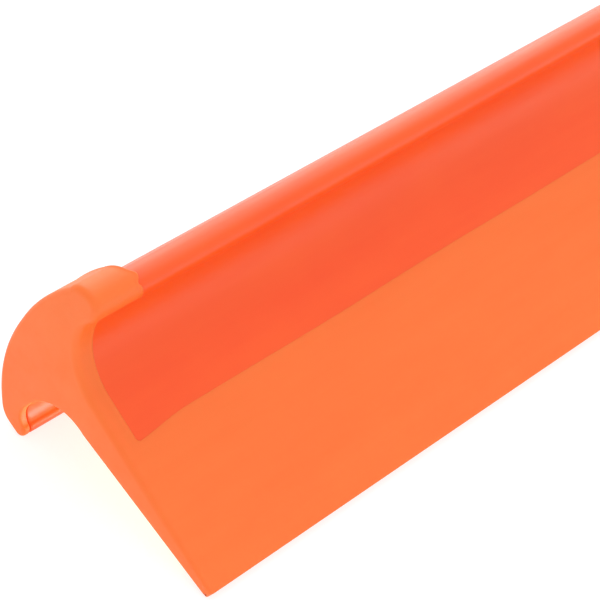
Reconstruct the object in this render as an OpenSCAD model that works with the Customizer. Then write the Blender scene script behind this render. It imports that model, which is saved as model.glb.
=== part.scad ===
// Head of a floor squeegee moulded in two shots: a hard frame and a soft blade over it.
// X runs along the head. The profile is drawn upright in a (p, q) plane, with the blade's
// edge down at q = 0 and its front face on p = 0, and is then laid down as the head rests:
// the lip at the back and the blade's edge in front both touch the floor, Z = 0.

/* [Head] */
// Length of the head, end to end
head_length = 600; // [240:5:700]
// Height of the profile, from the blade's edge to the crest of the hood
head_height = 72; // [66:0.5:80]

/* [Hood] */
// Radius of the hood's outer arc at the soft ends
hood_r = 45.3; // [43:0.1:50]
// Distance of that arc's centre behind the front face, negative in front of it
hood_centre_p = -1.7; // [-3:0.1:1]
// How far the lip's outer face lies behind the front face
lip_outer_p = 31.5; // [29:0.1:34]
// Thickness of the lip at the hood's free edge
lip_t = 3.4; // [2.4:0.1:4]
// How far the lip's rounded edge lies below the crest
lip_drop = 21.4; // [20:0.1:24]
// How far the soft shot stands over the hard hood at the ends
hood_skin = 1.5; // [0.8:0.1:2]

/* [Hollow under the hood] */
// How far the hollow's roof lies below the crest
hollow_drop = 16.5; // [15:0.1:18]
// Radius of the hollow's rear corner, behind the lip
hollow_rear_r = 5; // [4:0.1:6]
// Radius of the hollow's front sweep, into the leg
hollow_front_r = 12; // [9:0.1:13]

/* [Nose and panel] */
// Distance of the nose's centre in front of the front face
nose_reach = 14.8; // [13:0.1:16]
// Radius of the hard nose along the head
nose_r = 3.9; // [3.5:0.1:4.3]
// Radius of the soft cap over the nose
cap_r = 4.5; // [4.3:0.1:5]
// How far the cap's centre lies below the crest
cap_drop = 6.3; // [5.8:0.1:6.8]
// How far the nose's centre lies below the cap's
nose_sink = 0.9; // [0.6:0.1:1.2]
// How far the nose hangs below the top of the concave sweep
nose_bead = 0.9; // [0.5:0.1:1.5]
// Radius of the concave sweep between the nose and the flat of the panel
panel_r = 14.8; // [13:0.1:16]
// How far down from the crest the panel runs, to the soft blade
panel_drop = 35; // [31:0.5:38]

/* [Blade] */
// Thickness of the blade at its edge
edge_t = 2.6; // [1.5:0.1:4]
// Thickness of the blade where it meets the panel
root_t = 8.4; // [7.5:0.1:9.5]
// Rounding of the blade's two bottom corners, seen from the front
blade_corner_r = 1; // [0.5:0.1:5]

/* [Ends] */
// Thickness of the soft end walls
end_wall = 2.2; // [1.5:0.1:3.5]
// Width of the soft border beside the panel, from the end
border_w = 4; // [4:0.1:8]
// Depth of the soft border over the hard leg
border_t = 1.2; // [0.8:0.1:2]
// Length of the soft caps over the nose and hood, from the end
cap_length = 14.5; // [10:0.5:25]
// Thickness of the soft shot around the nose inside a cap
cap_wall = 1.4; // [1:0.1:1.6]

/* [Lock between the shots] */
// Depth of the hard tongue inside the blade
tongue_depth = 13; // [9:0.5:18]
// Thickness of the tongue
tongue_t = 2.4; // [1.6:0.1:3]
// Radius of the holes in the tongue that the blade fills
lock_hole_r = 3; // [2:0.1:3.5]
// Largest distance from one lock hole to the next
lock_pitch = 22; // [15:1:40]

/* [Handle socket] */
// Tilt of the socket's axis above level, as the head rests
socket_tilt = 0; // [-5:0.5:5]
// How far behind the front face the axis leaves the hood
socket_p = 13; // [11:0.5:15]
// Length of the neck, from the hood to its mouth
neck_length = 44; // [44:0.5:60]
// Radius of the neck where it joins the hood
neck_root_r = 17; // [16:0.1:18]
// Radius of the neck below its collar
neck_tip_r = 15.2; // [15:0.1:16]
// Radius of the collar round the mouth
collar_r = 17; // [16.5:0.1:17.5]
// Length of the collar
collar_length = 7; // [4:0.5:12]
// Radius of the bore for the handle's thread
bore_r = 11; // [9:0.1:12]
// Depth of the bore
bore_depth = 38; // [30:0.5:38]
// Chamfer at the mouth of the bore and under the collar
mouth_chamfer = 1.5; // [0.5:0.1:2]
// Reach of each gusset along the hood, from the axis
gusset_reach = 58; // [40:1:90]
// Height of the gussets up the neck
gusset_height = 28; // [15:1:32]
// Thickness of the gussets
gusset_t = 6; // [4:0.5:10]

/* [Hidden] */
$fn = 96;

hard_orange = [1.0, 0.37, 0.21];
soft_orange = [1.0, 0.49, 0.28];

// How far a cutting shape runs past the faces it cuts
over = 1;
// How deep two shapes that are joined run into each other
bite = 3;

half = head_length / 2;
frame_half = half - end_wall;
border_start = half - border_w;
cap_start = half - cap_length;

// Upright profile: the hood, its lip, the nose and the panel
hood_centre = [hood_centre_p, head_height - hood_r];
hard_hood_r = hood_r - hood_skin;
lip_r = lip_t / 2;
lip_inner_p = lip_outer_p - lip_t;
lip_centre = [lip_outer_p - lip_r, head_height - lip_drop + lip_r];
cap_centre = [-nose_reach, head_height - cap_drop];
nose_centre = cap_centre - [0, nose_sink];
panel_q = head_height - panel_drop;
sweep_centre = [-panel_r, nose_centre[1] - nose_r + nose_bead - panel_r];

// The back of the leg and blade is one straight line up from the edge
function back_p(q) = edge_t + (root_t - edge_t) * q / panel_q;

// Upright profile: the hollow's roof, and the arcs that turn down from it
roof_q = head_height - hollow_drop;
front_arc_q = roof_q - hollow_front_r;
front_arc_p = back_p(front_arc_q) + hollow_front_r;
rear_arc_q = roof_q - hollow_rear_r;
rear_arc_p = lip_inner_p - sqrt(pow(hollow_rear_r, 2) - pow(lip_centre[1] - rear_arc_q, 2));

// The floor is a line that touches the blade's back corner and the round edge of the lip
lip_away = lip_centre - [edge_t, 0];
floor_angle = atan2(lip_away[1], lip_away[0]) - asin(lip_r / norm(lip_away));
function laid_y(p, q) = cos(floor_angle) * p + sin(floor_angle) * q;
function laid_z(p, q) = cos(floor_angle) * q - sin(floor_angle) * p;
floor_z = laid_z(edge_t, 0);

// The socket's axis leaves the hood's arc at its foot, and the neck runs on into the hood
socket_angle = floor_angle + socket_tilt;
foot_q = hood_centre[1] + sqrt(pow(hard_hood_r, 2) - pow(socket_p - hood_centre_p, 2));
neck_sink = 10;
gusset_sink = 4;
gusset_end = 2;

// The origin stands midway between the blade's front corner and the socket's mouth
mouth_p = socket_p + neck_length * cos(socket_angle);
mouth_q = foot_q + neck_length * sin(socket_angle);
rear_y = laid_y(mouth_p, mouth_q) + collar_r * abs(sin(socket_tilt));
middle_y = (laid_y(0, 0) + rear_y) / 2;

// Lock holes, evenly spread along the tongue
lock_end = border_start - 2 * lock_hole_r;
lock_gaps = ceil(2 * lock_end / lock_pitch);
lock_q = panel_q - tongue_depth / 2;

// Turns bars of the upright profile, drawn along Z, into the head as it rests
module laid() {
    translate([0, -middle_y, -floor_z])
        rotate([-floor_angle, 0, 0])
            rotate([90, 0, 90])
                children();
}

// A bar of a profile between two places along the head
module bar(from_x, to_x) {
    translate([0, 0, from_x])
        linear_extrude(to_x - from_x)
            children();
}

module both_ends() {
    for (side = [0, 1])
        mirror([0, 0, side])
            children();
}

// Everything in front of the panel: the flat's side of p = 0 and the concave sweep
module in_front(depth = 0) {
    translate(sweep_centre)
        circle(r = panel_r + depth);
    translate([-nose_reach - over, 0])
        square([nose_reach + over + depth, sweep_centre[1]]);
}

// The hollow under the hood, between the leg and the lip, open downwards
module hollow() {
    intersection() {
        translate([front_arc_p, front_arc_q])
            circle(r = hollow_front_r);
        translate([0, front_arc_q - bite])
            square([front_arc_p, head_height]);
    }
    translate([rear_arc_p, rear_arc_q])
        circle(r = hollow_rear_r);
    translate([min(front_arc_p, rear_arc_p), front_arc_q])
        square([abs(rear_arc_p - front_arc_p), hollow_front_r]);
    translate([front_arc_p - hollow_front_r, 0])
        square([hollow_front_r + over, front_arc_q]);
    translate([front_arc_p, 0])
        square([lip_outer_p + over - front_arc_p, lip_centre[1]]);
}

// The hood between its outer arc, the sweep, the hollow and the lip's outer face
module hood(arc_r) {
    difference() {
        intersection() {
            translate(hood_centre)
                circle(r = arc_r);
            translate([-nose_reach, front_arc_q])
                square([nose_reach + lip_outer_p, head_height]);
        }
        in_front();
        hollow();
    }
    translate(lip_centre)
        circle(r = lip_r);
}

// The leg below the hood, from one level up to its top inside the hood
module leg(from_q) {
    tapered_leg(from_q, front_arc_q);
    translate([0, front_arc_q])
        square([back_p(front_arc_q), bite]);
}

// A stretch of the tapered leg and blade between two levels
module tapered_leg(from_q, to_q) {
    polygon([
        [0, from_q],
        [back_p(from_q), from_q],
        [back_p(to_q), to_q],
        [0, to_q],
    ]);
}

// The hard profile, with its nose at a given place and radius
module hard_profile(centre, r) {
    hood(hard_hood_r);
    leg(panel_q);
    translate(centre)
        circle(r = r);
}

// The tongue below the panel, in the middle of the blade's thickness
module tongue() {
    low_q = panel_q - tongue_depth;
    top_q = panel_q + bite;
    polygon([
        [(back_p(low_q) - tongue_t) / 2, low_q],
        [(back_p(low_q) + tongue_t) / 2, low_q],
        [(back_p(top_q) + tongue_t) / 2, top_q],
        [(back_p(top_q) - tongue_t) / 2, top_q],
    ]);
}

module lock_holes() {
    for (i = [0:lock_gaps])
        translate([-over, lock_q, -lock_end + 2 * lock_end * i / lock_gaps])
            rotate([0, 90, 0])
                cylinder(r = lock_hole_r, h = root_t + 2 * over);
}

// Places children on the socket's axis, with +X out of the mouth and X = 0 at the foot
module on_socket() {
    translate([socket_p, foot_q, 0])
        rotate([0, 0, socket_angle])
            children();
}

module neck() {
    collar_start = neck_length - collar_length;
    on_socket()
        rotate([0, 90, 0]) {
            translate([0, 0, -neck_sink])
                cylinder(r1 = neck_root_r, r2 = neck_tip_r, h = neck_sink + collar_start);
            translate([0, 0, collar_start - mouth_chamfer])
                cylinder(r1 = neck_tip_r - over, r2 = collar_r, h = mouth_chamfer);
            translate([0, 0, collar_start])
                cylinder(r = collar_r, h = collar_length);
        }
}

module gussets() {
    on_socket()
        rotate([90, 0, 0])
            translate([0, 0, -gusset_t / 2])
                linear_extrude(gusset_t)
                    polygon([
                        [-gusset_sink, -gusset_reach],
                        [gusset_end, -gusset_reach],
                        [gusset_height, -neck_tip_r + over],
                        [gusset_height, neck_tip_r - over],
                        [gusset_end, gusset_reach],
                        [-gusset_sink, gusset_reach],
                    ]);
}

module bore() {
    on_socket()
        rotate([0, 90, 0]) {
            translate([0, 0, neck_length - bore_depth])
                cylinder(r = bore_r, h = bore_depth + over);
            translate([0, 0, neck_length - mouth_chamfer])
                cylinder(r1 = bore_r, r2 = bore_r + mouth_chamfer, h = mouth_chamfer);
        }
}

module frame() {
    color(hard_orange)
        laid()
            difference() {
                union() {
                    bar(-cap_start, cap_start)
                        hard_profile(nose_centre, nose_r);
                    both_ends()
                        bar(cap_start - bite, frame_half)
                            hard_profile(cap_centre, cap_r - cap_wall);
                    bar(-border_start, border_start)
                        tongue();
                    neck();
                    gussets();
                }
                bar(-neck_root_r - over, neck_root_r + over)
                    hollow();
                both_ends()
                    bar(border_start, half)
                        in_front(border_t);
                lock_holes();
                bore();
            }
}

// The profile of the closed ends, full thickness everywhere
module end_profile() {
    hood(hood_r);
    leg(panel_q - bite);
    translate(cap_centre)
        circle(r = cap_r);
}

// The soft skin over the hood's outer arc
module skin_profile() {
    difference() {
        intersection() {
            translate(hood_centre)
                circle(r = hood_r);
            translate([-nose_reach, lip_centre[1]])
                square([nose_reach + lip_outer_p, head_height]);
        }
        translate(hood_centre)
            circle(r = hard_hood_r);
    }
}

// The soft cap over hood and nose, around the hard core
module cap_profile() {
    difference() {
        union() {
            skin_profile();
            translate(cap_centre)
                circle(r = cap_r);
        }
        hood(hard_hood_r);
        translate(cap_centre)
            circle(r = cap_r - cap_wall);
    }
}

// The soft border in front of the hard leg
module border_profile() {
    intersection() {
        end_profile();
        in_front(border_t);
    }
}

// The blade's bottom corner at one end, outside its rounding
module corner_cut() {
    translate([0, blade_corner_r, half - blade_corner_r])
        rotate([0, 90, 0])
            translate([0, 0, -over])
                difference() {
                    translate([-blade_corner_r - over, -blade_corner_r - over, 0])
                        cube([blade_corner_r + over, blade_corner_r + over, root_t + 2 * over]);
                    cylinder(r = blade_corner_r, h = root_t + 2 * over);
                }
}

module blade() {
    color(soft_orange)
        laid() {
            difference() {
                bar(-half, half)
                    tapered_leg(0, panel_q);
                difference() {
                    bar(-border_start, border_start)
                        tongue();
                    lock_holes();
                }
                both_ends()
                    corner_cut();
            }
            both_ends() {
                bar(frame_half, half)
                    end_profile();
                bar(border_start, half)
                    border_profile();
                bar(cap_start, half)
                    cap_profile();
            }
        }
}

frame();
blade();
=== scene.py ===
"""A floor squeegee head moulded in two shots, lying on its lip and blade edge on a pale studio floor.

The hard shot is a long hood with a nose, a panel and a threaded handle socket. The soft shot is
the wiping blade, which also closes both ends. Both are swept along the head from one upright
profile in millimetres, (p, q): p runs back from the front face, q up from the blade's edge.
"""
import math

import bmesh
import bpy
import numpy as np
from mathutils import Matrix, Vector
from mathutils.geometry import delaunay_2d_cdt


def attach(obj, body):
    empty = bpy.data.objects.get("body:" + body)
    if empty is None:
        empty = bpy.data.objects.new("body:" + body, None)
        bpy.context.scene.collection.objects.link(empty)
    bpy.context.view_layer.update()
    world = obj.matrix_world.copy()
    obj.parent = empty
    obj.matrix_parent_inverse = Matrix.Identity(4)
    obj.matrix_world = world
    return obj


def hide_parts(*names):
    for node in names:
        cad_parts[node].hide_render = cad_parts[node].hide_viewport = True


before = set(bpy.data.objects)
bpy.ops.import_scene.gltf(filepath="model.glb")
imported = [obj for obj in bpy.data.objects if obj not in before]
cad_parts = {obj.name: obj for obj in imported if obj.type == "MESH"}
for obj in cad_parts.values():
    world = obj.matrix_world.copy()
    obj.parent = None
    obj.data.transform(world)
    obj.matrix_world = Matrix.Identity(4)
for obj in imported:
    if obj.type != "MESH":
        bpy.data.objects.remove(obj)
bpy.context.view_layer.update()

MM = 0.001
# Points nearer to each other than this, in mm, are one point
WELD = 0.0005
# Edges that turn by more than this, in degrees, stay crisp
CRISP_DEG = 32

# ---------------------------------------------------------------- sizes of the head, mm and degrees
HEAD_LENGTH = 600.0
CREST_Q = 72.0
HOOD_R = 45.3
HOOD_CENTRE_P = -1.7
HOOD_SKIN = 1.5
# How far the hard hood lies below the soft ends, and how far hood and back bulge between crest and lip
END_STEP = 2.3
BULGE = 0.75
BULGE_FROM_P = 6.0
BULGE_LEAN = 1.2
# How far nose and cap swell towards the front, as a share of their radius, and over how many degrees
NOSE_SWELL = (0.25, 33)
CAP_SWELL = (0.2, 45)
SWELL_AT = 205
LIP_OUTER_P = 31.5
LIP_T = 3.4
LIP_DROP = 21.4
HOLLOW_DROP = 16.5
HOLLOW_REAR_R = 5.0
HOLLOW_FRONT_R = 12.0
NOSE_REACH = 14.8
NOSE_R = 3.6
NOSE_DROP = 7.4
CAP_R = 4.5
CAP_DROP = 6.3
SWEEP_R = 14.8
SWEEP_Q = 47.0
PANEL_Q = 37.0
EDGE_T = 2.6
ROOT_T = 8.4
CORNER_R = 1.0
END_WALL = 2.2
BORDER_W = 5.1
BORDER_CORNER_R = 0.8
CAP_LENGTH = 12.3
CAP_SPREAD = 3.0
CAP_WALL = 1.4
SOCKET_P = 13.0
NECK_LENGTH = 44.0
NECK_ROOT_R = 17.0
NECK_TIP_R = 15.2
COLLAR_R = 17.0
COLLAR_LENGTH = 7.0
NECK_FLARE = 5.0
MOUTH_ROUND = 1.2
MOUTH_R = 12.6
MOUTH_BEVEL = 0.6
BORE_R = 11.0
THREADED_LENGTH = 36.0
THREAD_START = 1.0
THREAD_PITCH = 5.0
THREAD_ROOT = 0.3
THREAD_RISE = 2.1
GUSSET_REACH = 58.0
GUSSET_HEIGHT = 28.0
GUSSET_TIP_HEIGHT = 2.0
GUSSET_T = 6.0
GUSSET_FLARE = 2.4
GUSSET_ROUND = 1.1
# How deep the feet of neck and webs are sunk in the hood
FOOT_SINK = 0.25

HALF = HEAD_LENGTH / 2


def back_p(q):
    """Back of the leg and blade at height q."""
    return EDGE_T + (ROOT_T - EDGE_T) * q / PANEL_Q


# ---------------------------------------------------------------- how the upright profile is laid
LIP_R = LIP_T / 2
LIP_CENTRE = (LIP_OUTER_P - LIP_R, CREST_Q - LIP_DROP + LIP_R)
HOOD_CENTRE = (HOOD_CENTRE_P, CREST_Q - HOOD_R)
CAP_CENTRE = (-NOSE_REACH, CREST_Q - CAP_DROP)
NOSE_CENTRE = (-NOSE_REACH, CREST_Q - NOSE_DROP)
SWEEP_CENTRE = (-SWEEP_R, SWEEP_Q)
LEAN = math.atan2(LIP_CENTRE[1], LIP_CENTRE[0] - EDGE_T) - math.asin(
    LIP_R / math.hypot(LIP_CENTRE[0] - EDGE_T, LIP_CENTRE[1]))
AXIS = LEAN
FOOT_Q = HOOD_CENTRE[1] + math.sqrt((HOOD_R - HOOD_SKIN) ** 2 - (SOCKET_P - HOOD_CENTRE_P) ** 2)
MOUTH = (SOCKET_P + NECK_LENGTH * math.cos(AXIS), FOOT_Q + NECK_LENGTH * math.sin(AXIS))


def leaned(p, q):
    return (math.cos(LEAN) * p + math.sin(LEAN) * q, math.cos(LEAN) * q - math.sin(LEAN) * p)


REAR_Y = leaned(*MOUTH)[0]
MIDDLE_Y = REAR_Y / 2
FLOOR_Z = leaned(EDGE_T, 0)[1]


def laid(points):
    """Points (x along the head, p, q) in mm, as the head rests on the floor, in metres."""
    a = np.asarray(points, float)
    y = math.cos(LEAN) * a[:, 1] + math.sin(LEAN) * a[:, 2] - MIDDLE_Y
    z = math.cos(LEAN) * a[:, 2] - math.sin(LEAN) * a[:, 1] - FLOOR_Z
    return np.stack([a[:, 0], y, z], axis=1) * MM


# ---------------------------------------------------------------- camera
AIM_U = 63.1
AIM_Q = 43.95
CAMERA_DISTANCE = 585.3
CAMERA_TURN = 57.2
CAMERA_HEIGHT = 41.5
CAMERA_ROLL = 15.0
CAMERA_LENS = 154.9


def make_camera():
    """The studio camera: it aims at a place on the head's front, from a turn and a height in degrees."""
    aim = Vector(laid([(-HALF + AIM_U, 0, AIM_Q)])[0])
    turn, height = math.radians(CAMERA_TURN), math.radians(CAMERA_HEIGHT)
    flat = math.cos(height)
    forward = Vector((flat * math.sin(turn), flat * math.cos(turn), -math.sin(height)))
    level = forward.cross(Vector((0, 0, 1))).normalized()
    upright = level.cross(forward)
    roll = math.radians(CAMERA_ROLL)
    right = math.cos(roll) * level + math.sin(roll) * upright
    up = math.cos(roll) * upright - math.sin(roll) * level
    data = bpy.data.cameras.new("studio_camera")
    data.lens = CAMERA_LENS
    data.sensor_width = 36.0
    data.clip_start, data.clip_end = 0.01, 50.0
    data.dof.use_dof = False
    camera = bpy.data.objects.new("studio_camera", data)
    bpy.context.scene.collection.objects.link(camera)
    turned = Matrix((right, up, -forward)).transposed().to_4x4()
    camera.matrix_world = Matrix.Translation(aim - forward * CAMERA_DISTANCE * MM) @ turned
    bpy.context.scene.camera = camera


make_camera()


# ---------------------------------------------------------------- outlines of the profile
def arc(centre, r, from_deg, to_deg, step=0.6):
    """Points along an arc, about one step apart."""
    n = max(3, int(abs(math.radians(to_deg - from_deg)) * r / step))
    t = np.radians(np.linspace(from_deg, to_deg, n + 1))
    return np.stack([centre[0] + r * np.cos(t), centre[1] + r * np.sin(t)], axis=1)


def line(a, b, step=0.9):
    """Points along a straight line, about one step apart."""
    n = max(2, int(math.hypot(b[0] - a[0], b[1] - a[1]) / step))
    return np.linspace(a, b, n + 1)


def angle_at(centre, point):
    """The direction of a point from a centre, in degrees."""
    return math.degrees(math.atan2(point[1] - centre[1], point[0] - centre[0]))


def crossing(centre, r, other, other_r, want):
    """The crossing of two circles that lies nearest to a point."""
    centre, other = np.array(centre), np.array(other)
    apart = np.linalg.norm(other - centre)
    along = (r * r - other_r * other_r + apart * apart) / (2 * apart)
    aside = math.sqrt(r * r - along * along)
    ahead = (other - centre) / apart
    across = np.array([-ahead[1], ahead[0]])
    found = [centre + along * ahead + side * aside * across for side in (-1, 1)]
    return min(found, key=lambda point: np.linalg.norm(point - np.array(want)))


def cut_from(points, reach, at_end):
    """A run of points with one end shortened by a distance along it."""
    run = points[::-1] if at_end else points
    gone = np.concatenate([[0], np.cumsum(np.linalg.norm(np.diff(run, axis=0), axis=1))])
    reach = min(reach, 0.45 * gone[-1])
    k = int(np.searchsorted(gone, reach))
    t = (reach - gone[k - 1]) / (gone[k] - gone[k - 1])
    start = run[k - 1] + t * (run[k] - run[k - 1])
    run = np.concatenate([[start], run[k:]])
    return run[::-1] if at_end else run


def outline(runs, reaches):
    """A closed outline from named runs of points, with each corner rounded over its reach."""
    names = [name for name, _ in runs]
    shapes = [np.array(points) for _, points in runs]
    corners = [shape[-1].copy() for shape in shapes]
    for i, reach in enumerate(reaches):
        j = (i + 1) % len(shapes)
        shapes[i] = cut_from(shapes[i], reach, True)
        shapes[j] = cut_from(shapes[j], reach, False)
    out, tags = [], []
    for i, shape in enumerate(shapes):
        out.append(shape)
        tags += [names[i]] * len(shape)
        nxt = shapes[(i + 1) % len(shapes)][0]
        t = np.linspace(0, 1, 7)[1:-1, None]
        out.append((1 - t) ** 2 * shape[-1] + 2 * t * (1 - t) * corners[i] + t ** 2 * nxt)
        tags += [names[i]] * 2 + [names[(i + 1) % len(names)]] * 3
    return np.concatenate(out), np.array(tags)


def normals_of(points):
    """Outward normals of a closed outline that runs clockwise."""
    back = points - np.roll(points, 1, axis=0)
    ahead = np.roll(points, -1, axis=0) - points
    t = back / np.maximum(np.linalg.norm(back, axis=1), 1e-9)[:, None]
    t = t + ahead / np.maximum(np.linalg.norm(ahead, axis=1), 1e-9)[:, None]
    t /= np.maximum(np.linalg.norm(t, axis=1), 1e-9)[:, None]
    return np.stack([-t[:, 1], t[:, 0]], axis=1)


def bulged(over, down):
    """The hood's back half and the lip's back, pushed out in one soft swell that dies out at both ends."""
    both = np.concatenate([over, down[1:]])
    gone = np.concatenate([[0], np.cumsum(np.linalg.norm(np.diff(both, axis=0), axis=1))])
    first = float(np.interp(BULGE_FROM_P, both[:, 0], gone))
    t = np.clip((gone - first) / (gone[-1] - first), 0, 1)
    swell = BULGE * np.sin(math.pi * t ** BULGE_LEAN)
    ahead = np.gradient(both, axis=0)
    ahead /= np.linalg.norm(ahead, axis=1)[:, None]
    both = both + swell[:, None] * np.stack([-ahead[:, 1], ahead[:, 0]], axis=1)
    return both[:len(over)], both[len(over) - 1:]


def swollen(points, centre, share, width):
    """A round nose with its front drawn out, so that its top is flatter."""
    out = points - np.array(centre)
    a = np.degrees(np.arctan2(out[:, 1], out[:, 0])) % 360
    return np.array(centre) + out * (1 + share * np.exp(-((a - SWELL_AT) / width) ** 2))[:, None]


# Steps between the points of an outline, in mm
NOSE_STEP = 0.2
LIP_STEP = 0.3
HOOD_STEP = 1.0
BLADE_STEP = 1.2
BORDER_STEP = 0.35
EDGE_STEP = 0.4
PANEL_STEP = 0.8
# Places that the crease under the nose and the brow over it lie near to
CREASE_NEAR = (-12, 62)
BROW_NEAR = (-14, 70)


def upper_runs(hood_r, nose_centre, nose_r, swell):
    """The runs from the panel up over nose and hood, round the lip and back down to the leg."""
    crease = crossing(SWEEP_CENTRE, SWEEP_R, nose_centre, nose_r, CREASE_NEAR)
    brow = crossing(nose_centre, nose_r, HOOD_CENTRE, hood_r, BROW_NEAR)
    shoulder_q = HOOD_CENTRE[1] + math.sqrt(hood_r ** 2 - (LIP_OUTER_P - HOOD_CENTRE_P) ** 2)
    shoulder = (LIP_OUTER_P, shoulder_q)
    front_q = CREST_Q - HOLLOW_DROP - HOLLOW_FRONT_R
    front_p = back_p(front_q) + HOLLOW_FRONT_R
    rear_q = CREST_Q - HOLLOW_DROP - HOLLOW_REAR_R
    rear_p = LIP_OUTER_P - LIP_T - math.sqrt(HOLLOW_REAR_R ** 2 - (LIP_CENTRE[1] - rear_q) ** 2)
    turn = angle_at((rear_p, rear_q), (LIP_OUTER_P - LIP_T, LIP_CENTRE[1]))
    from_deg, to_deg = angle_at(HOOD_CENTRE, brow), angle_at(HOOD_CENTRE, shoulder)
    over = arc(HOOD_CENTRE, hood_r, from_deg, to_deg, HOOD_STEP)
    over, down = bulged(over, line(shoulder, (LIP_OUTER_P, LIP_CENTRE[1])))
    from_deg, to_deg = angle_at(nose_centre, crease), angle_at(nose_centre, brow) - 360
    round_nose = arc(nose_centre, nose_r, from_deg, to_deg, NOSE_STEP)
    return [
        ("sweep", arc(SWEEP_CENTRE, SWEEP_R, 0, angle_at(SWEEP_CENTRE, crease))),
        ("nose", swollen(round_nose, nose_centre, *swell)),
        ("hood", over),
        ("lip_back", down),
        ("lip", arc(LIP_CENTRE, LIP_R, 0, -180, LIP_STEP)),
        ("hollow_rear", arc((rear_p, rear_q), HOLLOW_REAR_R, turn, 90)),
        ("roof", line((rear_p, CREST_Q - HOLLOW_DROP), (front_p, CREST_Q - HOLLOW_DROP))),
        ("hollow_front", arc((front_p, front_q), HOLLOW_FRONT_R, 90, 180)),
    ], (back_p(front_q), front_q)


def smooth(t):
    """An even ease from 0 to 1."""
    t = np.clip(t, 0, 1)
    return t * t * (3 - 2 * t)


def round_rim(d, r):
    """How far a surface has sunk where its distance to a rounded rim is d."""
    d = np.clip(d, 0, r)
    return r - np.sqrt(np.maximum(r * r - (r - d) ** 2, 0))


# The line between panel and blade: waves as (height, reach along the head, phase), and its droop at the ends
TOP_WAVES = ((0.16, 31.0, 0.6), (0.09, 11.3, 0.0))
WAVES_FADE = (12, 30)
TOP_DROOP = 1.4
DROOP_FADE = (4, 17)


def blade_top(x):
    """Height of the line between panel and blade: nearly straight, and lower close to the ends."""
    u = HALF - abs(x)
    wave = sum(height * math.sin(x / reach + phase) for height, reach, phase in TOP_WAVES)
    middle = float(smooth((u - WAVES_FADE[0]) / WAVES_FADE[1]))
    near_end = float(1 - smooth((u - DROOP_FADE[0]) / DROOP_FADE[1]))
    return PANEL_Q + wave * middle - TOP_DROOP * near_end


# ---------------------------------------------------------------- meshes
def make_piece(name, verts, faces):
    """One welded, smooth-shaded piece from points in metres."""
    mesh = bpy.data.meshes.new(name)
    mesh.from_pydata([tuple(v) for v in verts], [], faces)
    work = bmesh.new()
    work.from_mesh(mesh)
    bmesh.ops.remove_doubles(work, verts=work.verts, dist=WELD * MM)
    work.to_mesh(mesh)
    work.free()
    mesh.validate()
    mesh.update()
    mesh.polygons.foreach_set("use_smooth", [True] * len(mesh.polygons))
    mesh.set_sharp_from_angle(angle=math.radians(CRISP_DEG))
    piece = bpy.data.objects.new(name, mesh)
    bpy.context.scene.collection.objects.link(piece)
    return piece


class Shell:
    """Collects vertices (x, p, q) in mm and faces, for one piece."""

    def __init__(self):
        self.points, self.faces = [], []

    def ring_grid(self, rings, flip, closed=True):
        """Joins rings of equal length. Each ring is a list of points."""
        start, n = len(self.points), len(rings[0])
        for ring in rings:
            self.points += [tuple(v) for v in ring]
        for j in range(len(rings) - 1):
            for i in range(n if closed else n - 1):
                a, b = start + j * n + i, start + j * n + (i + 1) % n
                quad = (a, b, b + n, a + n)
                self.faces.append(quad[::-1] if flip else quad)
        return start

    def fill(self, first, n, flip, spot=None):
        """Closes a ring with triangles. spot turns a vertex into a place in the ring's own plane."""
        self.close(range(first, first + n), flip, spot)

    def close(self, loop, flip, spot=None):
        loop = list(loop)
        spot = spot or (lambda v: (v[1], v[2]))
        flat = [Vector(spot(self.points[i])) for i in loop]
        edges = [(i, (i + 1) % len(loop)) for i in range(len(loop))]
        out_verts, _, out_faces, origin, _, _ = delaunay_2d_cdt(flat, edges, [], 1, 1e-5)
        for tri in out_faces:
            tri = [loop[origin[v][0]] for v in tri if origin[v]]
            if len(set(tri)) == 3:
                a, b, c = (Vector(spot(self.points[v])) for v in tri)
                turned = (b - a).cross(c - a) > 0
                self.faces.append(tuple(tri) if turned != flip else tuple(tri[::-1]))


# Rounding of the end's edge, by the run of the outline that it follows
END_FILLETS = dict(front=1.7, border=1.7, sweep=1.7, nose=1.7, hood=1.3, lip_back=0.9, lip=0.9,
                   hollow_rear=0.6, roof=0.6, hollow_front=0.6, leg=0.5, back=0.5, edge=0.5)
FILLET_SHARE = 0.28
FILLET_BLENDS = 14
CAP_SINK = 1.9
LIP_SINK = 1.2
RIM_SINK = 0.9
# Places just below the blade's top, close together so that its edge is crisp, and how each corner is rounded
NEAR_TOP = (0.3, 0.18, 0.1, 0.05, 0.02, 0)
SOFT_REACHES = [0.008, 0.5, 2.2, 1.5, 2.4, 0.3, 0.3, 0.3, 0.3, 0.3, 0.3, 0.25, 0.25]


def soft_outline():
    """The soft shot's outline at an end of the head."""
    upper, leg_top = upper_runs(HOOD_R, CAP_CENTRE, CAP_R, CAP_SWELL)
    near_top = [(0, PANEL_Q - d) for d in NEAR_TOP]
    front = np.concatenate([line((0, 0), (0, PANEL_Q - 0.5), BLADE_STEP), near_top])
    blade_back = (back_p(PANEL_Q), PANEL_Q)
    runs = [("front", front), ("border", line((0, PANEL_Q), (0, SWEEP_Q), BORDER_STEP))]
    runs += upper
    runs += [
        ("leg", line(leg_top, blade_back)),
        ("back", line(blade_back, (EDGE_T, 0), BLADE_STEP)),
        ("edge", line((EDGE_T, 0), (0, 0), EDGE_STEP)),
    ]
    return outline(runs, SOFT_REACHES)


def blade_rows(tags):
    """The outline's points on the blade, in order: down the back, round the edge and up the front."""
    first = int(np.argmax(tags == "back"))
    return [i for i in np.roll(np.arange(len(tags)), -first) if tags[i] in BLADE_RUNS]


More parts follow.
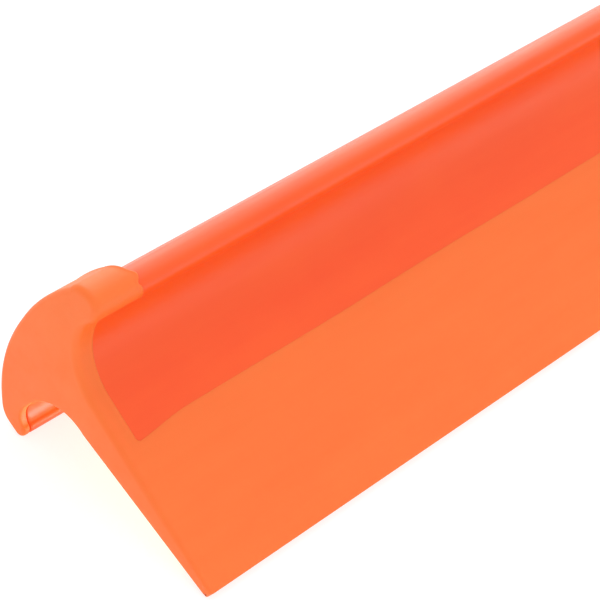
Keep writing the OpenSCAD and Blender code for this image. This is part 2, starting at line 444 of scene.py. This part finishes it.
# The cap's edge runs on over the hood with a slight wave, as (height, reach). Round the nose, from the first
# degree over the next ones, it spreads, with lobes as (height, place, width) in shares of that turn
HOOD_WAVE = (0.35, 5.0)
LOBES_FROM_DEG = 148
LOBES_OVER_DEG = 127
LOBES = ((0.75, 0.26, 0.1), (-0.65, 0.45, 0.07))


def cap_reach(p, q):
    """How far the soft cap reaches along the head at a place on its outline, with shallow lobes of flash."""
    a = math.degrees(math.atan2(q - CAP_CENTRE[1], p - CAP_CENTRE[0])) % 360
    if p > CAP_CENTRE[0] and a < LOBES_FROM_DEG:
        return CAP_LENGTH + HOOD_WAVE[0] * math.sin((p - CAP_CENTRE[0]) / HOOD_WAVE[1])
    t = (a - LOBES_FROM_DEG) / LOBES_OVER_DEG
    lobes = sum(height * math.exp(-((t - place) / width) ** 2) for height, place, width in LOBES)
    return CAP_LENGTH + CAP_SPREAD * t + lobes


def soft_end(shell, side, pts, normals, tags):
    """One end of the soft shot: a closed wall with a rounded edge, then border, cap and blade."""
    n = len(pts)
    fillet = np.array([END_FILLETS[tag] for tag in tags])
    on_blade = np.isin(tags, BLADE_RUNS)
    fillet = np.where(on_blade, np.minimum(fillet, FILLET_SHARE * back_p(pts[:, 1])), fillet)
    for _ in range(FILLET_BLENDS):
        fillet = (np.roll(fillet, 1) + fillet + np.roll(fillet, -1)) / 3
    places = [end_places(tags[i], *pts[i], fillet[i]) for i in range(n)]
    rings = []
    for j in range(len(places[0])):
        ring = []
        for i in range(n):
            (p, q), tag, f = pts[i], tags[i], fillet[i]
            u, inset = places[i][j]
            x = side * (HALF - u)
            at = np.array([p, q]) - inset * normals[i]
            if tag in BLADE_RUNS:
                at[1] = max(at[1], min(inset, f) if q < 1.5 * f else at[1])
                at[0] = min(max(at[0], min(inset, EDGE_MID)), max(back_p(at[1]) - inset, EDGE_MID))
            if tag == "front" or (tag == "border" and q < PANEL_Q + TOP_BLEND):
                at = front_edge(at, q, u, x)
            if tag in BLADE_RUNS and q < 2 * CORNER_R:
                x = round_bottom(x, at, u, side)
            ring.append((x, at[0], at[1]))
        rings.append(ring)
    start = shell.ring_grid(rings, flip=side < 0)
    shell.fill(start, n, flip=side < 0)
    last = start + (len(rings) - 1) * n
    rows = blade_rows(tags)
    hidden = [i for i in range(n) if tags[i] not in BLADE_RUNS]
    shell.close([last + rows[-1]] + [last + i for i in hidden] + [last + rows[0]], flip=side > 0)
    return rings[-1]


BLADE_STATION = 20.0
BLADE_STATIONS = 121
BLADE_RUNS = ("front", "back", "edge")
EDGE_MID = EDGE_T / 2
FILLET_STEPS = 9
# Distances from the end at which the blade gets a section, dense where the panel's corner is rounded
BLADE_PLACES = [2.2, 3.2, 4.4, 4.9, 5.1, 5.2, 5.3, 5.4, 5.5, 5.65, 5.8, 5.9, 6.1, 6.7, 8.2, 10.4, 13.0, 16.0,
                BLADE_STATION]
# Places on the rim of border and cap, as (distance short of its reach, depth): a thin bead, then the edge
BEAD = [(1.2, 0.0), (0.95, -0.03), (0.75, -0.1), (0.6, -0.14), (0.45, -0.14), (0.3, -0.08), (0.15, 0.03),
        (0.05, 0.2), (0.0, 0.42)]
PLAIN_RIM_R = 0.6
LIP_BACK_RISE = 5


def reach_of(tag, p, q):
    """How far from the end the soft shot reaches on this part of the outline, and how deep its rim goes."""
    if tag in ("border", "sweep"):
        short = max(BORDER_CORNER_R - (q - PANEL_Q), 0)
        corner = BORDER_CORNER_R - math.sqrt(max(BORDER_CORNER_R ** 2 - short ** 2, 0)) if short else 0
        return BORDER_W + corner, RIM_SINK
    if tag in ("nose", "hood"):
        return cap_reach(p, q), CAP_SINK
    if tag == "lip_back":
        risen = float(smooth((q - LIP_CENTRE[1]) / LIP_BACK_RISE))
        return END_WALL + (CAP_LENGTH - END_WALL) * risen, LIP_SINK
    return END_WALL, RIM_SINK


def end_places(tag, p, q, fillet):
    """The places, as (distance from the end, depth below the outline), of one strip of the soft end."""
    turns = [math.pi / 2 * k / (FILLET_STEPS - 1) for k in range(FILLET_STEPS)]
    places = [(fillet * (1 - math.cos(t)), fillet * (1 - math.sin(t))) for t in turns]
    if tag in BLADE_RUNS:
        return places + [(u, 0) for u in BLADE_PLACES]
    reach, sink = reach_of(tag, p, q)
    if tag in ("border", "sweep", "nose", "hood"):
        rim = [(reach - short, depth) for short, depth in BEAD] + [(reach, sink)]
    else:
        turns = [math.pi / 2 * k / (len(BEAD) - 1) for k in range(len(BEAD))]
        rim = [(reach - PLAIN_RIM_R * (1 - math.sin(t)), PLAIN_RIM_R * (1 - math.cos(t))) for t in turns]
        rim += [(reach, sink)]
    start, body = rim[0][0], len(BLADE_PLACES) - len(rim)
    return places + [(fillet + (start - fillet) * k / (body + 1), 0) for k in range(1, body + 1)] + rim


TOP_RIM_R = 0.14
# How far above the blade's top the border still follows the wavy line
TOP_BLEND = 3


def front_edge(at, q, u, x):
    """Follows the wavy line between panel and blade, and rounds the blade's top edge beyond the border."""
    top = blade_top(x)
    above = q + (top - PANEL_Q) * float(1 - smooth((q - PANEL_Q) / TOP_BLEND))
    level = q / PANEL_Q * top if q <= PANEL_Q else above
    back = at[0]
    corner_u = BORDER_W + BORDER_CORNER_R
    if q <= PANEL_Q and u > BORDER_W:
        in_corner = math.hypot(u - corner_u, level - top - BORDER_CORNER_R) - BORDER_CORNER_R
        near = top - level if u > corner_u else in_corner
        back += float(round_rim(near, TOP_RIM_R))
    return np.array([back, level + (at[1] - q)])


def round_bottom(x, at, u, side):
    """Rounds the blade's bottom corner, seen from the front."""
    low = CORNER_R - at[1]
    if low > 0 and u < CORNER_R:
        x = side * (HALF - max(u, CORNER_R - math.sqrt(max(CORNER_R ** 2 - low ** 2, 0))))
    return x


def soft_blade():
    """The soft shot: both ends, and the plain blade between them."""
    pts, tags = soft_outline()
    normals = normals_of(pts)
    shell = Shell()
    near = soft_end(shell, -1, pts, normals, tags)
    far = soft_end(shell, 1, pts, normals, tags)
    rows = blade_rows(tags)
    rings = [[near[i] for i in rows]]
    for x in np.linspace(-HALF + BLADE_STATION, HALF - BLADE_STATION, BLADE_STATIONS)[1:-1]:
        ring = []
        for i in rows:
            p, q = pts[i]
            at = (p, q)
            if tags[i] == "front":
                at = front_edge(np.array([p, q]), q, HALF - abs(x), x)
            ring.append((x, at[0], at[1]))
        rings.append(ring)
    rings.append([far[i] for i in rows])
    shell.ring_grid(rings, flip=True)
    return make_piece("soft_blade", laid(shell.points), shell.faces)


# ---------------------------------------------------------------- the hard moulding
# How far the panel is set back, and how far it is nearer the end than UNDER_BORDER_TO, under the border
PANEL_SET_BACK = 0.05
UNDER_BORDER = 1.1
UNDER_BORDER_TO = 3.3
# How far the hard shot goes on below the panel's lower line, inside the blade, and how far its back is
# set in there
SEAT_DEPTH = 2.2
SEAT_IN = 0.5
# How far each corner of the outline is rounded, in the order of its runs
HARD_REACHES = [0.5, 1.0, 1.2, 2.2, 0.3, 0.3, 0.3, 0.3, 0.3, 0.2, 0.2, 0.2]
# The nose stays full until this far under the cap's edge; from there to the end it is a thinner core
CORE_OVERLAP = 0.9
SHELL_ROUND = 0.3
# Where the hard shot gets sections, by distance from the end: at its rim and under the cap, then close
# ones at the cap's edge as (start, stop, step), then even ones along the middle
END_STATIONS = [END_WALL, END_WALL + 0.08, END_WALL + SHELL_ROUND, 3.2, 3.5, 7.0, 9.8]
CAP_STATIONS = (10.2, 15.0, 0.35)
MIDDLE_FROM = 16
MIDDLE_STATIONS = 95


def hard_outline():
    """The hard shot's outline between the ends."""
    upper, leg_top = upper_runs(HOOD_R - END_STEP, NOSE_CENTRE, NOSE_R, NOSE_SWELL)
    low = PANEL_Q - SEAT_DEPTH
    leg_end, seat_end = (back_p(PANEL_Q), PANEL_Q), (back_p(PANEL_Q) - SEAT_IN, low)
    runs = [("panel", line((0, low), (0, SWEEP_Q), PANEL_STEP))]
    runs += upper
    runs += [
        ("leg", line(leg_top, leg_end)),
        ("seat", line(leg_end, seat_end)),
        ("under", line(seat_end, (0, low))),
    ]
    return outline(runs, HARD_REACHES)


def hard_shell(shell):
    """Hood, lip, nose and panel. Under the soft caps the nose goes on as a thinner core."""
    full, tags = hard_outline()
    nose = (tags == "nose")[:, None]
    core = np.array(CAP_CENTRE) + (full - np.array(NOSE_CENTRE)) * (CAP_R - CAP_WALL) / NOSE_R
    reach = np.array([cap_reach(p, q) for p, q in full])
    under_cap = np.where(tags == "nose", reach - CORE_OVERLAP, 0.0)
    normals = normals_of(full)
    front = (tags == "panel") | (tags == "sweep")
    wall = ~(front | (tags == "nose") | (tags == "hood") | (tags == "lip_back"))
    rings = []
    middle = list(np.linspace(MIDDLE_FROM, HEAD_LENGTH - MIDDLE_FROM, MIDDLE_STATIONS))
    near_end = END_STATIONS + list(np.arange(*CAP_STATIONS))
    for s in near_end + middle + [HEAD_LENGTH - s for s in near_end[::-1]]:
        u = min(s, HEAD_LENGTH - s)
        shape = np.where((u < under_cap)[:, None] & nose, core, full)
        set_back = np.where(front, PANEL_SET_BACK if u > UNDER_BORDER_TO else UNDER_BORDER, 0.0)
        soft_edge = float(round_rim(u - END_WALL, SHELL_ROUND)) if u < END_WALL + SHELL_ROUND else 0.0
        set_back = np.where(wall, soft_edge, set_back)
        rings.append([(s - HALF, p, q) for p, q in shape - set_back[:, None] * normals])
    start = shell.ring_grid(rings, flip=True)
    shell.fill(start, len(full), flip=True)
    shell.fill(start + (len(rings) - 1) * len(full), len(full), flip=False)


def on_socket(along, across, sideways):
    """A place by its distance along the socket's axis, across it in the profile, and sideways along X."""
    return (sideways, SOCKET_P + along * math.cos(AXIS) - across * math.sin(AXIS),
            FOOT_Q + along * math.sin(AXIS) + across * math.cos(AXIS))


def hood_level(across):
    """Where the hood's surface lies along the socket's axis, at a distance across it."""
    r = HOOD_R - END_STEP
    start = np.array([SOCKET_P - across * math.sin(AXIS), FOOT_Q + across * math.cos(AXIS)])
    start = start - np.array(HOOD_CENTRE)
    along = float(start @ np.array([math.cos(AXIS), math.sin(AXIS)]))
    return -along + math.sqrt(max(along * along - float(start @ start) + r * r, 0))


NECK_TURNS = 144
FLARE_STEPS = 10
# The height whose radius the flare ends on, and the height from which the neck has rings of its own
FLARE_AT = 2
STRAIGHT_FROM = 12
BORE_STEPS = 150
# The collar's step, as (distance from where the collar starts, radius)
COLLAR_STEP = ((-0.9, NECK_TIP_R + 0.25), (-0.35, COLLAR_R - 0.55), (0.15, COLLAR_R - 0.12), (0.7, COLLAR_R))
# The thread's share of its pitch: half the ridge with its flank, and the flank alone
RIDGE_HALF = 0.30
FLANK = 0.16


def round_ring(h, r):
    """A ring of the socket at a height along its axis."""
    turns = [2 * math.pi * i / NECK_TURNS for i in range(NECK_TURNS)]
    return [on_socket(h, r * math.cos(a), r * math.sin(a)) for a in turns]


def flare_ring(t, r):
    """A ring of the flare between hood and neck, t from the hood (0) to the neck (a quarter turn)."""
    ring = []
    r = r + NECK_FLARE * (1 - math.sin(t))
    for i in range(NECK_TURNS):
        a = 2 * math.pi * i / NECK_TURNS
        h = hood_level(r * math.cos(a)) - FOOT_SINK + NECK_FLARE * (1 - math.cos(t))
        ring.append(on_socket(h, r * math.cos(a), r * math.sin(a)))
    return ring


def thread_ring(h, floor):
    """A ring of the bore with its thread, which fades out at the mouth and at the bore's floor."""
    ring = []
    fade = smooth((NECK_LENGTH - 2.5 - h) / 3) * smooth((h - floor - THREAD_START) / 2)
    for i in range(NECK_TURNS):
        a = 2 * math.pi * i / NECK_TURNS
        phase = (h / THREAD_PITCH + i / NECK_TURNS) % 1.0
        ridge = smooth((RIDGE_HALF - abs(phase - 0.5)) / FLANK)
        r = MOUTH_R - THREAD_ROOT - THREAD_RISE * float(ridge * fade)
        ring.append(on_socket(h, r * math.cos(a), r * math.sin(a)))
    return ring


def neck(shell):
    """The socket's neck: flared into the hood, with a collar, a rounded mouth and a threaded bore."""
    collar = NECK_LENGTH - COLLAR_LENGTH

    def neck_r(h):
        return NECK_ROOT_R + (NECK_TIP_R - NECK_ROOT_R) * (h + 10) / (10 + collar)

    quarter = math.pi / 2
    rings = [flare_ring(t, neck_r(FLARE_AT)) for t in np.linspace(0, quarter, FLARE_STEPS)]
    outside = [(h, neck_r(h)) for h in np.linspace(STRAIGHT_FROM, collar - 1.7, 9)]
    outside += [(collar + h, r) for h, r in COLLAR_STEP]
    shoulder = NECK_LENGTH - MOUTH_ROUND
    outside += [(shoulder, COLLAR_R)]
    outside += [(shoulder + MOUTH_ROUND * math.sin(t), COLLAR_R - MOUTH_ROUND * (1 - math.cos(t)))
                for t in np.linspace(0.3, quarter, 5)]
    outside += [(NECK_LENGTH - 0.8 * math.sin(t), MOUTH_R + MOUTH_BEVEL * math.cos(t))
                for t in np.linspace(0, quarter, 5)]
    rings += [round_ring(h, r) for h, r in outside]
    floor = NECK_LENGTH - THREAD_START - THREADED_LENGTH
    for k in range(1, BORE_STEPS + 1):
        rings.append(thread_ring(NECK_LENGTH - THREAD_START - THREADED_LENGTH * k / BORE_STEPS, floor))
    rings += [round_ring(floor - h, r) for h, r in ((0.7, BORE_R - 0.6), (1.0, BORE_R * 0.5), (1.1, 0.8))]
    start = shell.ring_grid(rings, flip=False)
    last = start + (len(rings) - 1) * NECK_TURNS
    shell.fill(last, NECK_TURNS, True, lambda v: (v[0], v[2] * math.cos(AXIS) - v[1] * math.sin(AXIS)))


GUSSET_START = NECK_TIP_R - 2.2
GUSSET_STATIONS = 25
# The web's top is this much narrower on each side. Where its ridge runs into the hood, its rows stop this
# far below the hood's face
GUSSET_BEVEL = 0.25
GUSSET_SINK = 0.6
# How far the web's ridge hangs at its middle, and where its tip starts to turn down
GUSSET_HANG = 1.32
TIP_FROM = 0.96
TIP_DROP = 2.4


def ridge_height(s):
    """Height of a web's ridge, s from the neck (0) to the tip (1)."""
    ridge = GUSSET_HEIGHT + (GUSSET_TIP_HEIGHT - GUSSET_HEIGHT) * s - GUSSET_HANG * math.sin(math.pi * s)
    return ridge - TIP_DROP * (max(s - TIP_FROM, 0) / (1 - TIP_FROM)) ** 2


def gusset(shell, side):
    """A web from the neck down to the hood, rounded along its top edge and flared at its foot."""
    half, quarter = GUSSET_T / 2, math.pi / 2
    foot = [(half + GUSSET_FLARE * (1 - math.sin(t)), GUSSET_FLARE * (1 - math.cos(t)))
            for t in np.linspace(0, quarter, 7)]
    rings = []
    for s in np.linspace(0, 1, GUSSET_STATIONS):
        ridge = ridge_height(s)
        ring = []
        for sign, order in ((-1, 1), (1, -1)):
            rows = [(sign * w, hood_level(sign * w) - FOOT_SINK + h) for w, h in foot]
            rows += [(sign * (half - GUSSET_ROUND * (1 - math.cos(t)) - GUSSET_BEVEL),
                      ridge - GUSSET_ROUND * (1 - math.sin(t))) for t in np.linspace(0, quarter, 5)]
            rows = [(w, min(h, max(ridge, hood_level(w) - GUSSET_SINK))) for w, h in rows]
            out = GUSSET_START + (GUSSET_REACH - GUSSET_START) * s
            ring += [on_socket(h, w, side * out) for w, h in rows[::order]]
        rings.append(ring)
    start = shell.ring_grid(rings, flip=side < 0, closed=False)
    n = len(rings[0])
    shell.fill(start + (len(rings) - 1) * n, n, flip=side < 0)


def hard_frame():
    """The hard shot: shell, socket and webs."""
    shell = Shell()
    hard_shell(shell)
    neck(shell)
    for side in (-1, 1):
        gusset(shell, side)
    return make_piece("hard_frame", laid(shell.points), shell.faces)


# ---------------------------------------------------------------- materials
def linear(hex_colour):
    """An sRGB hex colour as linear red, green, blue and alpha."""
    out = []
    for k in (0, 2, 4):
        c = int(hex_colour[k:k + 2], 16) / 255
        out.append(c / 12.92 if c <= 0.04045 else ((c + 0.055) / 1.055) ** 2.4)
    return (*out, 1.0)


def add(tree, kind, **values):
    """A shader node with its settings and socket values."""
    node = tree.nodes.new(kind)
    for key, value in values.items():
        if hasattr(node, key):
            setattr(node, key, value)
        else:
            node.inputs[key.replace("_", " ")].default_value = value
    return node


def start_material(name):
    """A new material with its node tree and its shader."""
    material = bpy.data.materials.new(name)
    material.use_nodes = True
    tree = material.node_tree
    return material, tree, tree.nodes["Principled BSDF"]


def per_mm(size_mm):
    """Pattern scale, in repeats per metre, for a grain of this size in millimetres."""
    return 1.0 / (size_mm * MM)


# Size of the colour's clouds and of the flow marks in mm, and the scale along the head that draws these out
CLOUD_MM = 28
FLOW_MM = 5.5
FLOW_DRAWN = 0.12
# Depths that the light sees: sink marks, grain and pits, and the pits' width, in mm
SINK_MM = 0.35
GRAIN_MM = 0.03
PIT_MM = 0.2
PIT_WIDTH = 0.35


def moulded(name, colour, deeper, roughness, grain_mm, grain_depth, mottle, subsurface, pit_gap_mm):
    """Moulded plastic: base colour mottled a little, fine grain, and long flow marks along the head."""
    material, tree, shader = start_material(name)
    link = tree.links.new
    place = add(tree, "ShaderNodeTexCoord")
    stretch = add(tree, "ShaderNodeMapping")
    stretch.inputs["Scale"].default_value = (FLOW_DRAWN, 1.0, 1.0)
    link(place.outputs["Object"], stretch.inputs["Vector"])
    clouds = add(tree, "ShaderNodeTexNoise", Scale=per_mm(CLOUD_MM), Detail=3.0, Roughness=0.55)
    link(place.outputs["Object"], clouds.inputs["Vector"])
    flow = add(tree, "ShaderNodeTexNoise", Scale=per_mm(FLOW_MM), Detail=4.0, Roughness=0.6)
    link(stretch.outputs["Vector"], flow.inputs["Vector"])
    both = add(tree, "ShaderNodeMath", operation="ADD")
    link(clouds.outputs["Fac"], both.inputs[0])
    link(flow.outputs["Fac"], both.inputs[1])
    share = add(tree, "ShaderNodeMapRange")
    for key, value in (("From Min", 0.7), ("From Max", 1.3), ("To Min", 0.0), ("To Max", mottle)):
        share.inputs[key].default_value = value
    link(both.outputs[0], share.inputs["Value"])
    mix = add(tree, "ShaderNodeMix", data_type="RGBA")
    mix.inputs["A"].default_value = linear(colour)
    mix.inputs["B"].default_value = linear(deeper)
    link(share.outputs["Result"], mix.inputs["Factor"])
    link(mix.outputs["Result"], shader.inputs["Base Color"])
    rough = add(tree, "ShaderNodeMapRange")
    low, high = roughness - 0.05, roughness + 0.06
    for key, value in (("From Min", 0.3), ("From Max", 0.7), ("To Min", low), ("To Max", high)):
        rough.inputs[key].default_value = value
    link(flow.outputs["Fac"], rough.inputs["Value"])
    link(rough.outputs["Result"], shader.inputs["Roughness"])
    grain = add(tree, "ShaderNodeTexNoise", Scale=per_mm(grain_mm), Detail=2.0, Roughness=0.5)
    link(place.outputs["Object"], grain.inputs["Vector"])
    sink = add(tree, "ShaderNodeBump", Strength=0.35, Distance=SINK_MM * MM)
    link(clouds.outputs["Fac"], sink.inputs["Height"])
    fine = add(tree, "ShaderNodeBump", Strength=grain_depth, Distance=GRAIN_MM * MM)
    link(grain.outputs["Fac"], fine.inputs["Height"])
    cells = add(tree, "ShaderNodeTexVoronoi", Scale=per_mm(pit_gap_mm))
    link(place.outputs["Object"], cells.inputs["Vector"])
    pit = add(tree, "ShaderNodeMapRange")
    pit.inputs["From Max"].default_value = PIT_WIDTH / pit_gap_mm
    link(cells.outputs["Distance"], pit.inputs["Value"])
    pits = add(tree, "ShaderNodeBump", Strength=0.8, Distance=PIT_MM * MM)
    link(pit.outputs["Result"], pits.inputs["Height"])
    link(sink.outputs["Normal"], pits.inputs["Normal"])
    link(pits.outputs["Normal"], fine.inputs["Normal"])
    link(fine.outputs["Normal"], shader.inputs["Normal"])
    shader.inputs["Subsurface Weight"].default_value = subsurface
    shader.inputs["Subsurface Radius"].default_value = (1.0, 0.35, 0.15)
    shader.inputs["Subsurface Scale"].default_value = 2.0 * MM
    return material


# Polypropylene off a polished tool: a satin sheen with soft streaks, deeper and redder than the blade
POLYPROPYLENE = dict(name="satin_polypropylene_orange", colour="FF5A0F", deeper="FA4F0A", roughness=0.38,
                     grain_mm=0.5, grain_depth=0.25, mottle=0.6, subsurface=0.12, pit_gap_mm=70)
# Thermoplastic elastomer: matt and slightly translucent, so its edges look soft and pale
ELASTOMER = dict(name="matt_elastomer_light_orange", colour="FF7628", deeper="FB6E22", roughness=0.5,
                 grain_mm=0.35, grain_depth=0.5, mottle=0.6, subsurface=0.25, pit_gap_mm=24)


# ---------------------------------------------------------------- floor and light
# The lit strip under the head, in metres
STRIP_LENGTH = 0.590
STRIP_WIDTH = 0.046
STRIP_Y = -0.026
STRIP_Z = 0.0004


def make_floor():
    """A white table the head rests on."""
    mesh = bpy.data.meshes.new("studio_floor")
    r = 8.0
    mesh.from_pydata([(-r, -r, 0), (r, -r, 0), (r, r, 0), (-r, r, 0)], [], [(0, 1, 2, 3)])
    floor = bpy.data.objects.new("studio_floor", mesh)
    bpy.context.scene.collection.objects.link(floor)
    # A lit shooting table: the white sheet glows a little, so shade under the head stays pale
    material, tree, shader = start_material("matt_white_lit_table")
    shader.inputs["Base Color"].default_value = linear("A0A0A0")
    shader.inputs["Roughness"].default_value = 0.9
    shader.inputs["Emission Color"].default_value = linear("FFFFFF")
    shader.inputs["Emission Strength"].default_value = 0.75
    mesh.materials.append(material)


def soft_light(name, turn_deg, height_deg, distance, width, power):
    """A soft square light that faces the middle of the head."""
    data = bpy.data.lights.new(name, "AREA")
    data.shape, data.size, data.energy = "SQUARE", width, power
    lamp = bpy.data.objects.new(name, data)
    turn, height = math.radians(turn_deg), math.radians(height_deg)
    level = math.cos(height)
    towards = Vector((level * math.sin(turn), level * math.cos(turn), math.sin(height)))
    lamp.location = towards * distance
    lamp.rotation_euler = (-lamp.location).to_track_quat("-Z", "Y").to_euler()
    bpy.context.scene.collection.objects.link(lamp)


def table_strip():
    """A lit strip of the table under the head, facing up: it brightens the hollow."""
    data = bpy.data.lights.new("table_strip", "AREA")
    data.shape, data.size, data.size_y, data.energy = "RECTANGLE", STRIP_LENGTH, STRIP_WIDTH, 0.6
    lamp = bpy.data.objects.new("table_strip", data)
    lamp.location = (0, STRIP_Y, STRIP_Z)
    lamp.rotation_euler = (math.pi, 0, 0)
    bpy.context.scene.collection.objects.link(lamp)


def make_light():
    """A pale surround, three soft boxes and the lit strip."""
    world = bpy.data.worlds.new("studio_surround")
    bpy.context.scene.world = world
    world.use_nodes = True
    surround = world.node_tree.nodes["Background"]
    surround.inputs["Color"].default_value = (1.0, 1.0, 1.0, 1.0)
    surround.inputs["Strength"].default_value = 0.86
    soft_light("front_softbox", -175, 45, 1.6, 1.2, 1.4)
    soft_light("top_softbox", 10, 78, 1.6, 1.2, 4.6)
    soft_light("nose_softbox", 45, 18, 1.6, 1.5, 15.0)
    table_strip()
    bpy.context.scene.view_settings.view_transform = "Standard"


make_floor()
make_light()

blade_piece = soft_blade()
blade_piece.data.materials.append(moulded(**ELASTOMER))
frame_piece = hard_frame()
frame_piece.data.materials.append(moulded(**POLYPROPYLENE))

for piece, node, slot in ((blade_piece, "blade", "soft_blade"), (frame_piece, "frame", "hard_shell")):
    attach(piece, "root")
    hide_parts(node)
